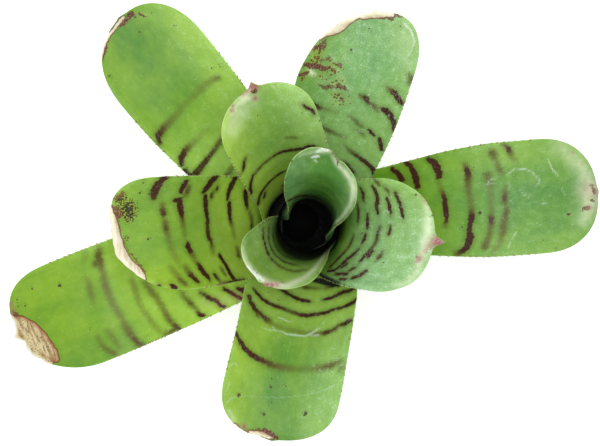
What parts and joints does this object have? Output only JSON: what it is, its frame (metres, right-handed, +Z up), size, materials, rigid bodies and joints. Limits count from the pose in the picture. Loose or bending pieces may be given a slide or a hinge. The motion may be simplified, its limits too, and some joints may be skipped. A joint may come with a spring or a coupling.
{
  "type": "half pint neoregelia",
  "caption": "Small tank bromeliad: banded green strap leaves with toothed edges, their wide bases nested round a short stem as an open cup.",
  "frame": {"origin": "middle of the cut stem's flat foot, on the surface that the plant stands on", "axes": "+Z up through the cup; +X towards the long outer leaf at the right of the picture; +Y towards the picture's top"},
  "size_m": [0.1522, 0.1091, 0.0937],
  "materials": {
    "leaf": "satin",
    "stem": "matte"
  },
  "bodies": {
    "root": {"stem": "stem", "leaf_01": "leaf", "leaf_02": "leaf", "leaf_03": "leaf", "leaf_04": "leaf", "leaf_05": "leaf", "leaf_06": "leaf", "leaf_07": "leaf", "leaf_08": "leaf", "leaf_09": "leaf", "leaf_10": "leaf"}
  },
  "joints": []
}
